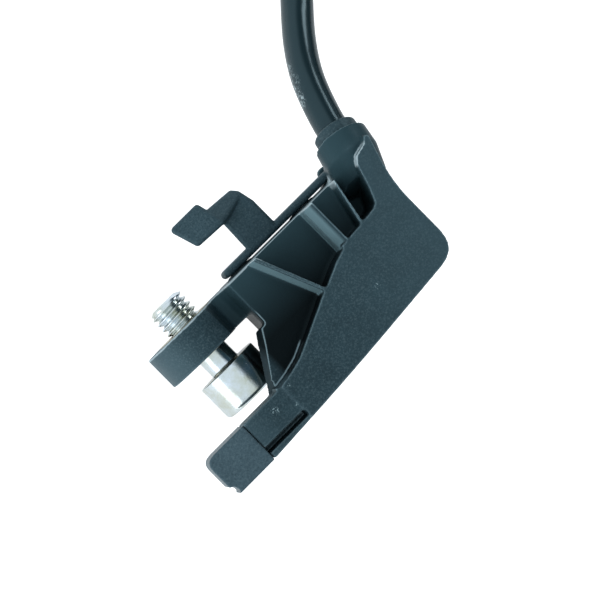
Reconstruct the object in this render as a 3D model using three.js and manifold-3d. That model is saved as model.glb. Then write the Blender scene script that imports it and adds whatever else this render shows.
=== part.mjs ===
// Wheel speed sensor with a captive bolt, a folded cable clip and a coiled lead.
// Millimetres. While it is drawn, the origin is where the bolt's axis meets the seat face.
// X runs along the flange from the ear to the cable, Y out of the seat along the bolt's thread,
// and Z up from the table on which the sensor lies on its back.
import * as THREE from "three";
import { mergeVertices } from "three/addons/utils/BufferGeometryUtils.js";
import { ConvexGeometry } from "three/addons/geometries/ConvexGeometry.js";
import Module from "manifold-3d";

const wasm = await Module();
wasm.setup();

// Fit between pieces that touch
const GAP = 0.3;

// Bush and its ear
const BUSH_OD = 10;
const BUSH_ID = 6.7;
const EAR_WALL = 2.6;
const EAR_R = BUSH_OD / 2 + EAR_WALL;
const EAR_T = 5.5; // seat to the underside of the ear
const BUSH_LOW = -EAR_T - 0.1; // the bush stands a little proud of both faces of the ear
const BUSH_L = EAR_T + 0.15;
const LIP_ID = 5.6;
const LIP_T = 0.8;

// Flange
const BACK = -EAR_R; // the sensor lies on this face
const FRONT = 12.4; // face of the arm above the bolt's axis
const NECK_START = BUSH_OD / 2 - 1.6; // where the round of the ear stops, over the bush
const NECK_END = NECK_START + 4.6; // where the flange is at its full height again
const NECK_FRONT = 2.6; // top of the neck above the bolt's axis
const NECK_BACK = 4.6; // underside of the neck below it
const NECK_DEPTH = -7.9; // behind the ear's underside, where the web joins
const FLANGE_END = 24.6;
const CREST_X = FLANGE_END - 0.25; // crest of the wall at the flange's end
const WALL_X = CREST_X - 1.2; // its side towards the ear
const WALL_TOP = FRONT - 3.4; // where that side starts to lean to the crest

// Arm that carries the sensing head, in front of the bolt so that a key can reach it
const ARM_RIGHT = 35.1;
const ARM_CORNER_R = 3.6;
const ARM_LOW_RIGHT = -19.6;
const ARM_LOW_LEFT = -23;
const ARM_BACK = 5.3; // back of the arm beside the bolt
const TOOL_SIDE = 7.7; // clear of the bolt's head and its key
const TIP_TOP = -15.8;
const TIP_END = -12.9;
const TIP_CORNER_R = 1.6;

// Pockets cored out of the front
const FLOOR_LOW = 6.6; // floor beside the arm
const FLOOR_NECK = 6.8; // floor beside the neck
const UPPER_FLOOR = 4.8; // floor between the rib and the flange's end
const RIB_FROM = new THREE.Vector2(12.4, 0.4);
const RIB_TO = new THREE.Vector2(17, -10.6);
const RIB_FOOT = 0.35; // its side towards the ear leans back from here
const RIB_BACK = 0.3;
const RIB_TOP = 10.5;
const OUTLET_FLOOR = 2.5;
const SHALLOW_FLOOR = 7.4;

// Pockets cored out of the back
const MIDDLE_TOP = 3;
const ROOT_TOP = 4.2;
const SIDE_WALL = 2.3; // left beside the room for the key

// Sensing head
const HEAD_START = -5.3; // joint between the overmould and the head
const JOINT = 0.1;
const TONGUE_END = 9;
const TONGUE_W = 3.2; // along Y
const TONGUE_T = 4.4; // along Z
const TONGUE_Y = -18.1;
const TONGUE_Z = (FRONT + ARM_BACK) / 2;
const PANEL_END = 2.7;
const PANEL_DROP = 0.25;
const SLOT_TOP = -20.35;
const SLOT_LOW = -21.45;
const SLOT_FLOOR = 8;

// Bolt
const THREAD_D = 5.9;
const SHANK_D = 5;
const THREAD_TIP = 4.6;
const HEAD_D = 10.2;
const HEAD_H = 6;
const HEAD_EDGE = 0.7;
const HEAD_TOP = -8.6; // side of the head that clamps, drawn in place behind the ear
const SOCKET_AF = 5;
const SOCKET_DEEP = 3;

// Cable outlet
const OUTLET = new THREE.Vector3(34.9, 3.3, 6.35); // centre of the boss's mouth
const OUTLET_TURN = 13.6; // degrees from Y towards X
const OUTLET_DIP = 20; // degrees down towards the table
const BOSS_R = 4.2;
const BOSS_L = 7.6;
const BOSS_SINK = 2.8; // its inner end lies this much lower than the cable's line
const BOSS_TAPER = 0.5;
const FERRULE_R = 3.45;
const FERRULE_OUT = 1.9;
const FERRULE_IN = 3;
const CABLE_D = 5;

// Clip
const CLIP_T = 1.3;
const CLIP_START = 9.4;
const CLIP_END = 32.4;
const CLIP_BACK = -6;
const CLIP_FRONT = 0;
const STRAP_LEFT = 14.5;
const STRAP_RIGHT = 20.4;
const CLIP_RISE = 3.5; // how far the end tab stands in front of the strap

const rad = THREE.MathUtils.degToRad;
const v3 = (x, y, z) => new THREE.Vector3(x, y, z);

// Solids

function solid(geometry) {
  const bare = geometry.index ? geometry.toNonIndexed() : geometry.clone();
  bare.deleteAttribute("normal");
  bare.deleteAttribute("uv");
  const merged = mergeVertices(bare, 1e-4);
  return new wasm.Manifold(
    new wasm.Mesh({
      numProp: 3,
      vertProperties: merged.attributes.position.array,
      triVerts: new Uint32Array(merged.index.array),
    }),
  );
}

function geometryOf(manifold) {
  const mesh = manifold.getMesh();
  const count = mesh.vertProperties.length / mesh.numProp;
  const points = new Float32Array(count * 3);
  for (let i = 0; i < count; i += 1) {
    points.set(mesh.vertProperties.subarray(i * mesh.numProp, i * mesh.numProp + 3), i * 3);
  }
  const indexed = new THREE.BufferGeometry();
  indexed.setAttribute("position", new THREE.BufferAttribute(points, 3));
  indexed.setIndex(new THREE.BufferAttribute(mesh.triVerts, 1));
  const flat = indexed.toNonIndexed();
  flat.computeVertexNormals();
  return flat;
}

const join = (...parts) => parts.reduce((a, b) => a.add(b));
const cut = (from, ...parts) => parts.reduce((a, b) => a.subtract(b), from);

// An outline in X and Y, raised between two heights.
function slab(outline, low, high, segments = 10) {
  const corners = () => outline.map(([x, y]) => new THREE.Vector2(x, y));
  const shape = outline instanceof THREE.Shape ? outline : new THREE.Shape(corners());
  const geometry = new THREE.ExtrudeGeometry(shape, {
    depth: high - low,
    bevelEnabled: false,
    curveSegments: segments,
  });
  return solid(geometry.translate(0, 0, low));
}

// The smallest closed form around some points.
const hull = (points) => solid(new ConvexGeometry(points));

function box(x0, x1, y0, y1, z0, z1) {
  const geometry = new THREE.BoxGeometry(x1 - x0, y1 - y0, z1 - z0);
  return solid(geometry.translate((x0 + x1) / 2, (y0 + y1) / 2, (z0 + z1) / 2));
}

// A turned piece: its profile is radius and distance along its axis.
function turned(profile, start, direction, segments = 40) {
  const geometry = new THREE.LatheGeometry(profile.map(([r, a]) => new THREE.Vector2(r, a)), segments);
  const turn = new THREE.Quaternion().setFromUnitVectors(v3(0, 1, 0), direction.clone().normalize());
  geometry.applyQuaternion(turn);
  return solid(geometry.translate(start.x, start.y, start.z));
}

const rod = (radius, start, direction, length, segments = 40) =>
  turned([[0, 0], [radius, 0], [radius, length], [0, length]], start, direction, segments);

// An outline with rounded corners: each point is x, y and the corner's radius.
function rounded(points) {
  const shape = new THREE.Shape();
  points.forEach(([x, y, r = 0], i) => {
    const [px, py] = points[(i + points.length - 1) % points.length];
    const [nx, ny] = points[(i + 1) % points.length];
    const back = new THREE.Vector2(px - x, py - y);
    const ahead = new THREE.Vector2(nx - x, ny - y);
    const reach = Math.min(r, back.length() / 2.05, ahead.length() / 2.05);
    back.setLength(reach);
    ahead.setLength(reach);
    if (i === 0) shape.moveTo(x + back.x, y + back.y);
    else shape.lineTo(x + back.x, y + back.y);
    if (reach > 0) shape.quadraticCurveTo(x, y, x + ahead.x, y + ahead.y);
  });
  shape.closePath();
  return shape;
}

// Cable outlet axis

const outletAxis = v3(
  Math.sin(rad(OUTLET_TURN)) * Math.cos(rad(OUTLET_DIP)),
  Math.cos(rad(OUTLET_TURN)) * Math.cos(rad(OUTLET_DIP)),
  -Math.sin(rad(OUTLET_DIP)),
);
const alongOutlet = (distance) => OUTLET.clone().addScaledVector(outletAxis, distance);

// Overmoulded housing: glass-filled nylon in one shot around the bush, the head and the cable

const ABOVE = FRONT + 3; // cuts from the front start here
const BELOW = BACK - 1; // and cuts from the back here
const FAR = 40; // further out than any face of the housing
const ARM_LOW_SLOPE = (ARM_LOW_RIGHT - ARM_LOW_LEFT) / (ARM_RIGHT - TIP_END);
const armLow = (x) => ARM_LOW_LEFT + ARM_LOW_SLOPE * (x - TIP_END);

// Upper edge of the arm on its front, from the corner beside the outlet to the tip
const ARM_EDGE = [
  [20.9, -8.7],
  [16.8, -10.4],
  [11.3, -12.9],
  [7.5, -14.7],
  [4.8, -15.4],
  [2.4, TIP_TOP + 0.05],
];
// Left edge of the web between the arm and the neck
const WEB_FOOT = [1.8, TIP_TOP + 0.4];
const WEB_BEND = [5.8, -10];
const WEB_HEAD = [8.1, -6.2];
const WEB_SLANT = 1.2; // the edge's side face leans out by this much

function outline() {
  return rounded([
    [2, 0],
    [30.4, 0, 1],
    [31, 2.4, 1],
    [37.5, 1.4, 0.8],
    [ARM_RIGHT, -6, 4],
    [ARM_RIGHT, ARM_LOW_RIGHT, ARM_CORNER_R],
    [12, armLow(12) - 0.3, 9],
    [HEAD_START, armLow(HEAD_START)],
    [HEAD_START, TIP_TOP],
    [WEB_FOOT[0] - WEB_SLANT - 1, TIP_TOP, 0.8],
    [WEB_FOOT[0] - WEB_SLANT, WEB_FOOT[1], 0.5],
    [WEB_BEND[0] - WEB_SLANT, WEB_BEND[1], 0.5],
    [6.6, -7.3, 0.8],
    [4.2, -EAR_T, 0.8],
    [2, -EAR_T],
  ]);
}

// The neck between the ear and the flange, narrower than both, with hollowed shoulders
function neckCuts() {
  const profile = [
    [NECK_START, ABOVE],
    [NECK_START, NECK_FRONT + 4],
    [NECK_START + 0.7, NECK_FRONT + 1.2],
    [NECK_START + 1.4, NECK_FRONT],
    [NECK_END - 1.6, NECK_FRONT],
    [NECK_END - 0.7, NECK_FRONT + 1],
    [NECK_END, FLOOR_NECK],
    [NECK_END, ABOVE],
  ];
  const front = hull([NECK_DEPTH, 4].flatMap((y) => profile.map(([x, z]) => v3(x, y, z))));
  const back = box(NECK_START, NECK_END, -FAR, 4, BELOW, -NECK_BACK);
  return [front, back];
}

// Room behind the arm for the bolt's head and the key that turns it
const toolWay = () => box(-FAR, TOOL_SIDE, -FAR, -EAR_T - 0.02, BELOW, ARM_BACK);

// The pocket between the neck, the web and the rib: its floor rises from the arm to the neck.
function lowerPocket() {
  const ribSide = RIB_FROM.x - RIB_FOOT;
  const low = WEB_FOOT[1];
  const high = -4; // the floor is level from here to the seat
  const rise = FLOOR_NECK - FLOOR_LOW;
  const floor = (y) => FLOOR_LOW + rise * THREE.MathUtils.clamp((y - low) / (high - low), 0, 1);
  const rim = [[NECK_END - 0.1, 1], [ribSide, 1], ...ARM_EDGE.slice(1), WEB_FOOT, WEB_BEND, WEB_HEAD];
  const pocket = hull(rim.flatMap(([x, y]) => [v3(x, y, floor(y)), v3(x, y, ABOVE)]));
  const beside = [
    [NECK_END - 1, -7],
    [WEB_BEND[0] - 4, WEB_BEND[1]],
    [WEB_FOOT[0] - 3, TIP_TOP],
    [WEB_FOOT[0] + 0.6, TIP_TOP],
  ];
  return [pocket, slab([WEB_FOOT, WEB_BEND, WEB_HEAD, ...beside], FLOOR_LOW, ABOVE), ...webSides()];
}

// The web's edge leans out towards its back.
function webSides() {
  const section = ([x, y]) => [
    v3(x - WEB_SLANT, y, ARM_BACK - 0.01),
    v3(x, y, FLOOR_LOW + 0.01),
    v3(x - WEB_SLANT - 2, y, FLOOR_LOW + 0.01),
    v3(x - WEB_SLANT - 2, y, ARM_BACK - 0.01),
  ];
  const foot = [WEB_FOOT[0] + 0.3, TIP_TOP];
  return [
    hull([...section(foot), ...section(WEB_BEND)]),
    hull([...section(WEB_BEND), ...section(WEB_HEAD)]),
  ];
}

// The rib is a thin wall between the two pockets, and its side towards the ear leans.
function rib() {
  const root = FLOOR_LOW - 3;
  const section = [
    [-RIB_FOOT - 0.1, root],
    [RIB_BACK, root],
    [RIB_BACK, RIB_TOP],
    [0, RIB_TOP],
    [-RIB_FOOT, FLOOR_LOW],
  ];
  const at = ({ x, y }) => section.map(([aside, z]) => v3(x + aside, Math.min(y, 0), z));
  return hull([...at(RIB_FROM), ...at(RIB_TO)]);
}

// The pocket between the rib and the flange's end, whose wall leans out to its crest
function upperPocket() {
  const rim = [
    [RIB_FROM.x + RIB_BACK, 1],
    [RIB_TO.x + RIB_BACK, RIB_TO.y + 0.3],
    ARM_EDGE[0],
    [WALL_X, -8],
    [WALL_X, 1],
  ];
  const lean = (y) => [
    v3(WALL_X, y, WALL_TOP),
    v3(CREST_X, y, FRONT + 0.01),
    v3(CREST_X, y, ABOVE),
    v3(WALL_X, y, ABOVE),
  ];
  return [slab(rim, UPPER_FLOOR, ABOVE), hull([...lean(1), ...lean(-7.6)])];
}

// The pocket beside the outlet: a shallow part, a thin step and a deep part
function outletPocket() {
  const shallow = [
    [FLANGE_END, 2.6],
    [FLANGE_END, -7.5],
    [27.4, -7.3],
    [29.5, 2.6],
  ];
  const deep = [
    [27.9, -7.2],
    [30.3, -7],
    [31.1, -6.5],
    [32, -4.3],
    [33.1, -0.8],
    [33.9, 0.2],
    [36, 0.7],
    [39, 4],
    [30, 4],
  ];
  return [slab(shallow, SHALLOW_FLOOR, ABOVE), slab(deep, OUTLET_FLOOR, ABOVE)];
}

// The boss round the outlet, which sinks into the deep pocket
function boss() {
  const across = v3(outletAxis.y, -outletAxis.x, 0).normalize();
  const upwards = across.clone().cross(outletAxis);
  const ring = (centre, radius) =>
    Array.from({ length: 40 }, (_, i) => {
      const a = (2 * Math.PI * i) / 40;
      const out = across.clone().multiplyScalar(radius * Math.cos(a));
      return out.addScaledVector(upwards, radius * Math.sin(a)).add(centre);
    });
  const level = ring(alongOutlet(-FERRULE_IN - 0.4), BOSS_R);
  const inner = ring(alongOutlet(-BOSS_L).add(v3(0, 0, -BOSS_SINK)), BOSS_R - BOSS_TAPER);
  const foot = inner.map((p) => v3(p.x, p.y, OUTLET_FLOOR - 1));
  return hull([...ring(OUTLET, BOSS_R), ...level, ...inner, ...foot]);
}

// The ways inside the moulding for the head's tongue, the terminals, the cores and the cable

const CORE_R = 0.65;
const CORE_OFF = 1.05; // each core above or below the tongue's middle
const TERMINAL_W = 1.2;
const TERMINAL_T = 0.5;
const TERMINAL_END = 14.6;
const CRIMP_L = 3;
const CRIMP_R = 0.9;
const CHAMBER_END = TERMINAL_END + CRIMP_L + 1;

const corePath = (side) => {
  const end = alongOutlet(-FERRULE_IN - GAP);
  return new THREE.CatmullRomCurve3([
    v3(CHAMBER_END - 1 + GAP, TONGUE_Y, TONGUE_Z + side * CORE_OFF),
    v3(24, -16.6, TONGUE_Z + side * CORE_OFF),
    v3(30.6, -12.2, TONGUE_Z - 0.4 + side * CORE_OFF),
    v3(33.2, -7.2, TONGUE_Z - 0.6 + side * CORE_OFF),
    end.clone().add(v3(0, 0, side * CORE_OFF)),
  ]);
};

function tube(path, radius, sides, steps) {
  const section = new THREE.Shape();
  for (let i = 0; i < sides; i += 1) {
    const a = (2 * Math.PI * i) / sides;
    section[i ? "lineTo" : "moveTo"](radius * Math.cos(a), radius * Math.sin(a));
  }
  section.closePath();
  return solid(new THREE.ExtrudeGeometry(section, { steps, bevelEnabled: false, extrudePath: path }));
}

function insideWays() {
  const tongue = box(
    HEAD_START - 1,
    TONGUE_END + GAP,
    TONGUE_Y - TONGUE_W / 2 - GAP,
    TONGUE_Y + TONGUE_W / 2 + GAP,
    TONGUE_Z - TONGUE_T / 2 - GAP,
    TONGUE_Z + TONGUE_T / 2 + GAP,
  );
  const half = CELL_W / 2 + 0.2;
  const high = CELL_H / 2 + 0.5;
  const chamber = box(
    TONGUE_END,
    CHAMBER_END,
    TONGUE_Y - half,
    TONGUE_Y + half,
    TONGUE_Z - high,
    TONGUE_Z + high,
  );
  const cores = [-1, 1].map((side) => tube(corePath(side), CORE_R + GAP, 8, 12));
  const mouth = rod(FERRULE_R + GAP / 2, alongOutlet(-FERRULE_IN - GAP), outletAxis, FERRULE_IN + 4, 40);
  const coreEnd = rod(1.9, alongOutlet(-FERRULE_IN - 1), outletAxis, 1.5, 24);
  return join(tongue, chamber, ...cores, mouth, coreEnd);
}

// Slot along the lower edge, and the rough panel on the front

function tipCuts() {
  const slot = box(HEAD_START - 1, PANEL_END, SLOT_LOW, SLOT_TOP, SLOT_FLOOR, ABOVE);
  const panel = box(HEAD_START - 1, PANEL_END, -FAR, TIP_TOP + 0.3, FRONT - PANEL_DROP, ABOVE);
  return [slot, panel];
}

// Pins that carry the clip plate, and the stop at its end

const PLATE_LOW = 0.3; // underside of the plate above the seat
const PLATE_TOP = PLATE_LOW + CLIP_T;
const PIN_R = 1.4;
const PIN_SHOULDER_R = 2.3;
const PIN_Z = -3.4;
const PIN_ROOT = -0.5; // the pins start inside the flange
const PIN_X = [12, 25];
const STOP_L = 1.2;
const STOP_FRONT = 2.6;

function clipHold() {
  const pins = PIN_X.flatMap((x) => [
    rod(PIN_SHOULDER_R, v3(x, PIN_ROOT, PIN_Z), v3(0, 1, 0), PLATE_LOW - GAP / 3 - PIN_ROOT, 28),
    rod(PIN_R, v3(x, PIN_ROOT, PIN_Z), v3(0, 1, 0), PLATE_TOP - PIN_ROOT, 28),
  ]);
  const stop = box(CLIP_END + GAP, CLIP_END + GAP + STOP_L, -1, PLATE_TOP, BACK, STOP_FRONT);
  const room = box(
    CLIP_START,
    CLIP_END + GAP,
    PLATE_LOW - GAP / 3,
    FAR,
    CLIP_BACK - GAP,
    CLIP_FRONT + GAP,
  );
  return { pins: join(...pins), stop, room };
}

function wholeHousing() {
  const blank = slab(outline(), BACK, FRONT, 5);
  const ear = rod(EAR_R, v3(0, -EAR_T, 0), v3(0, 1, 0), EAR_T, 72);
  const bore = rod(BUSH_OD / 2 + GAP / 2, v3(0, -EAR_T - 1, 0), v3(0, 1, 0), EAR_T + 2, 48);
  const cored = cut(blank, toolWay(), ...lowerPocket(), ...upperPocket(), ...outletPocket());
  const flange = cut(cored, box(-FAR, NECK_START, -EAR_T - 0.1, 1, -FAR, FAR), ...neckCuts());
  const hold = clipHold();
  const body = join(cut(flange, hold.room), cut(ear, ...neckCuts()));
  const shell = join(body, boss(), rib(), hold.stop, hold.pins);
  return cut(shell, bore, insideWays(), ...tipCuts(), ...backPockets());
}

// Cored from the back too, so that no wall is thick
function backPockets() {
  const left = TOOL_SIDE + SIDE_WALL;
  const middle = [
    [left, -7.4],
    [left + 12, -7.4],
    [left + 4, -12.6],
    [left, -13.4],
  ];
  const root = [
    [20.6, -11],
    [31.8, -10.4],
    [31.8, -16.2],
    [17, -17.2],
    [16, -14],
  ];
  return [slab(middle, BELOW, MIDDLE_TOP), slab(root, BELOW, ROOT_TOP)];
}

// Sensing head: a pre-moulded block with a tongue that the overmould grips

const POCKET_START = TIP_END + 1.4;
const CHIP_T = 1.5;
const MAGNET_L = 3;
const CELL_W = 2.6; // pocket for the chip and the magnet, along Y
const CELL_H = 3.8; // and along Z
const MAGNET_END = POCKET_START + GAP + CHIP_T + GAP + MAGNET_L;

function sensingHead() {
  const edge = armLow(HEAD_START);
  const profile = rounded([
    [HEAD_START - JOINT, edge],
    [HEAD_START - JOINT, TIP_TOP],
    [TIP_END, TIP_TOP, TIP_CORNER_R],
    [TIP_END, edge + 1.6],
    [TIP_END + 0.6, edge + 1.5, 0.3],
    [TIP_END + 0.9, edge + 0.3, 0.3],
    [TIP_END + 0.5, edge],
  ]);
  const block = slab(profile, ARM_BACK, FRONT, 5);
  const tongue = box(
    HEAD_START - 1,
    TONGUE_END,
    TONGUE_Y - TONGUE_W / 2,
    TONGUE_Y + TONGUE_W / 2,
    TONGUE_Z - TONGUE_T / 2,
    TONGUE_Z + TONGUE_T / 2,
  );
  const low = TONGUE_Z - CELL_H / 2;
  const high = TONGUE_Z + CELL_H / 2;
  const cell = box(POCKET_START, HEAD_START + 4, TONGUE_Y - CELL_W / 2, TONGUE_Y + CELL_W / 2, low, high);
  const loading = box(HEAD_START + 1, HEAD_START + 4, TONGUE_Y, TONGUE_Y + TONGUE_W, low, high);
  const grooves = [-1, 1].map((side) =>
    box(
      HEAD_START,
      TONGUE_END + 1,
      TONGUE_Y - TERMINAL_T / 2 - GAP / 2,
      TONGUE_Y + TONGUE_W,
      TONGUE_Z + side * CORE_OFF - TERMINAL_W / 2 - GAP / 2,
      TONGUE_Z + side * CORE_OFF + TERMINAL_W / 2 + GAP / 2,
    ),
  );
  return cut(join(block, tongue), cell, loading, ...grooves);
}

const chip = () =>
  box(
    POCKET_START + GAP,
    POCKET_START + GAP + CHIP_T,
    TONGUE_Y - CELL_W / 2 + GAP / 2,
    TONGUE_Y + CELL_W / 2 - GAP / 2,
    TONGUE_Z - CELL_H / 2 + GAP / 2,
    TONGUE_Z + CELL_H / 2 - GAP / 2,
  );

const magnet = () =>
  rod((CELL_W - GAP) / 2, v3(MAGNET_END - MAGNET_L, TONGUE_Y, TONGUE_Z), v3(1, 0, 0), MAGNET_L, 32);

function terminal(side) {
  const z = TONGUE_Z + side * CORE_OFF;
  return box(
    MAGNET_END + GAP,
    TERMINAL_END,
    TONGUE_Y - TERMINAL_T / 2,
    TONGUE_Y + TERMINAL_T / 2,
    z - TERMINAL_W / 2,
    z + TERMINAL_W / 2,
  );
}

const crimp = (side) =>
  rod(CRIMP_R, v3(TERMINAL_END + GAP / 3, TONGUE_Y, TONGUE_Z + side * CORE_OFF), v3(1, 0, 0), CRIMP_L, 16);

// Bush and captive bolt

function bush() {
  const inner = BUSH_ID / 2;
  const lip = LIP_ID / 2;
  const outer = BUSH_OD / 2;
  return turned(
    [
      [lip, 0],
      [outer, 0],
      [outer, BUSH_L],
      [inner, BUSH_L],
      [inner, LIP_T],
      [lip, LIP_T],
      [lip, 0],
    ],
    v3(0, BUSH_LOW, 0),
    v3(0, 1, 0),
    48,
  );
}

function bolt() {
  const head = HEAD_D / 2;
  const shank = SHANK_D / 2;
  const thread = THREAD_D / 2;
  const threadStart = BUSH_LOW + LIP_T + GAP;
  const face = HEAD_TOP - HEAD_H;
  const body = turned(
    [
      [0, face],
      [head - HEAD_EDGE, face],
      [head, face + HEAD_EDGE],
      [head, HEAD_TOP - 0.15],
      [head - 0.15, HEAD_TOP],
      [shank, HEAD_TOP],
      [shank, threadStart],
      [thread, threadStart + 0.45],
      [thread, THREAD_TIP - 0.9],
      [shank - 0.1, THREAD_TIP - 0.3],
      [shank - 0.5, THREAD_TIP],
      [0, THREAD_TIP],
    ],
    v3(0, 0, 0),
    v3(0, 1, 0),
    48,
  );
  const socket = turned(
    [
      [0, -1],
      [SOCKET_AF / Math.sqrt(3), -1],
      [SOCKET_AF / Math.sqrt(3), SOCKET_DEEP],
      [0, SOCKET_DEEP + 0.9],
    ],
    v3(0, face, 0),
    v3(0, 1, 0),
    6,
  );
  return body.subtract(socket);
}

// Folded clip: one strip of coated sheet, made as flat facets that share their rounded folds

const SHEET_R = CLIP_T / 2;
const BALL = new THREE.SphereGeometry(SHEET_R, 10, 6).getAttribute("position");

function facet(corners) {
  const points = corners.flatMap((c) => {
    const around = [];
    for (let i = 0; i < BALL.count; i += 1) {
      around.push(new THREE.Vector3().fromBufferAttribute(BALL, i).add(c));
    }
    return around;
  });
  const apart = points.filter((p, i) => points.findIndex((q) => q.distanceTo(p) < 1e-3) === i);
  return hull(apart);
}

function clip() {
  const y = PLATE_LOW + SHEET_R;
  const z = CLIP_FRONT - SHEET_R;
  const back = CLIP_BACK + SHEET_R;
  const left = CLIP_START + SHEET_R;
  const right = CLIP_END - SHEET_R;
  const strapLeft = STRAP_LEFT + SHEET_R;
  const strapRight = STRAP_RIGHT - SHEET_R;
  const foldLow = v3(strapLeft + 0.2, 7, z);
  const foldHigh = v3(strapRight - 0.5, 8.2, z);
  const tabLow = v3(14.1, 7.2, z + CLIP_RISE);
  const tabHigh = v3(13.1, 10.9, z + CLIP_RISE);
  const plate = facet([v3(left, y, z), v3(right, y, z), v3(right, y, back), v3(left, y, back)]);
  const strap = facet([
    v3(strapLeft, y, z),
    v3(strapRight, y, z),
    v3(strapRight, 6, z),
    foldHigh,
    v3(strapRight - 1.1, 8.9, z),
    foldLow,
  ]);
  const joggle = facet([
    foldLow,
    foldHigh,
    v3(strapRight - 1.1, 8.9, z),
    tabLow,
    tabLow.clone().lerp(tabHigh, 0.55),
  ]);
  const tab = facet([tabLow, tabHigh, v3(8.6, 10.9, z + CLIP_RISE), v3(9.7, 7.4, z + CLIP_RISE)]);
  const holes = PIN_X.map((x) => rod(PIN_R + GAP / 2, v3(x, -1, PIN_Z), v3(0, 1, 0), 5, 28));
  return cut(join(plate, strap, joggle, tab), ...holes);
}

// Seal bush at the outlet, gripping the cable

const CABLE_R = CABLE_D / 2;
const CABLE_FIT = 0.15;

const ferrule = () =>
  turned(
    [
      [CABLE_R + CABLE_FIT, -FERRULE_IN],
      [FERRULE_R, -FERRULE_IN],
      [FERRULE_R, FERRULE_OUT - 0.3],
      [FERRULE_R - 0.35, FERRULE_OUT],
      [CABLE_R + CABLE_FIT, FERRULE_OUT],
      [CABLE_R + CABLE_FIT, -FERRULE_IN],
    ],
    OUTLET,
    outletAxis,
    40,
  );

// Lead: out of the seal, down to the table and away. The rest of its length is wound in a coil.

const TABLE = BACK;
const UP = v3(Math.SQRT1_2, Math.SQRT1_2, 0); // the way the lead leaves
const ASIDE = v3(Math.SQRT1_2, -Math.SQRT1_2, 0);
const LEAD_LINE = v3(14.75, -9.35, 0); // a point of the line that the lead leaves along
const onTable = (aside, up, z) =>
  LEAD_LINE.clone().addScaledVector(ASIDE, aside).addScaledVector(UP, up).setZ(z);

const TIE_T = 0.8;
const TIE_W = 3.2;
const COIL_R = 27; // middle of the turns
const COIL_UP = 80;
const COIL_LOW = TABLE + TIE_T + GAP;
const COIL_CENTRE = onTable(COIL_R + CABLE_R, COIL_UP, COIL_LOW);
// The lead meets the outermost turn this far along its line.
const COIL_TOUCH = COIL_UP - Math.sqrt((COIL_R + CABLE_D + GAP) ** 2 - COIL_R ** 2);

const LYING = TABLE + CABLE_R; // height of its middle when it lies on the table
const STRAIGHT = 3.1; // it leaves the outlet straight for this length
const LEAD_BEND = onTable(1.06, 32.5, LYING + 7.35);
const LEAD_FALL = onTable(0.14, 38.4, LYING + 4.35);
const LEAD_LAND = onTable(0, 45.6, LYING + 1.45);
const LEAD_LIES = onTable(0, 54.7, LYING + GAP);

function lead() {
  const end = onTable(0, COIL_TOUCH - GAP, LYING + 2 * GAP);
  const route = [alongOutlet(GAP - FERRULE_IN), OUTLET, alongOutlet(STRAIGHT)];
  route.push(LEAD_BEND, LEAD_FALL, LEAD_LAND, LEAD_LIES, end);
  return tube(new THREE.CatmullRomCurve3(route), CABLE_R, 12, 30);
}

function coil() {
  const inner = COIL_R - CABLE_D;
  const outer = COIL_R + CABLE_D;
  const high = 2 * CABLE_D;
  const r = CABLE_R * 0.6;
  const profile = [
    [inner + r, 0],
    [outer - r, 0],
    [outer, r],
    [outer, high - r],
    [outer - r, high],
    [inner + r, high],
    [inner, high - r],
    [inner, r],
    [inner + r, 0],
  ];
  return turned(profile, COIL_CENTRE, v3(0, 0, 1), 64);
}

function coilTie(angle) {
  const at = COIL_CENTRE.clone().add(v3(COIL_R * Math.cos(angle), COIL_R * Math.sin(angle), CABLE_D));
  const hoop = (grow, w) => new THREE.BoxGeometry(2 * (CABLE_D + grow), w, 2 * (CABLE_D + grow));
  const place = (geometry) => solid(geometry.rotateZ(angle).translate(at.x, at.y, at.z));
  return place(hoop(GAP + TIE_T, TIE_W)).subtract(place(hoop(GAP, TIE_W * 2)));
}

// Plug on the lead's end, lying beside the coil with its nose towards the sensor

const PLUG_L = 26;
const PLUG_W = 15;
const PLUG_H = 12;
const PLUG_TAIL = 60.5;
const TAIL_L = 5;
const NECK_R = 4.6;
const NECK_L = 6;
const SEAL_R = 3.6;
const SEAL_GROOVE = 0.5;
const NOSE_L = 7;
const NOSE_HALF_W = 5.6;
const NOSE_HALF_H = 4;
const PORT_OFF = 2.7;
const LOCK_FROM = 12;
const LOCK_TO = 14.2;
const LOCK_LOW = -2.2;
const LOCK_T = 1;

const plug = new THREE.Group();
plug.position.copy(onTable(2 * COIL_R + CABLE_D, PLUG_TAIL - TAIL_L, TABLE + PLUG_H / 2));
plug.rotation.z = 0.75 * Math.PI;

// A bar along the plug with its four edges cut off
function octagonal(halfW, halfH, from, to) {
  const edge = 0.9;
  const quarter = (a, b, y) => [v3(a * halfW, y, b * (halfH - edge)), v3(a * (halfW - edge), y, b * halfH)];
  return hull([from, to].flatMap((y) => [-1, 1].flatMap((a) => [-1, 1].flatMap((b) => quarter(a, b, y)))));
}

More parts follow.
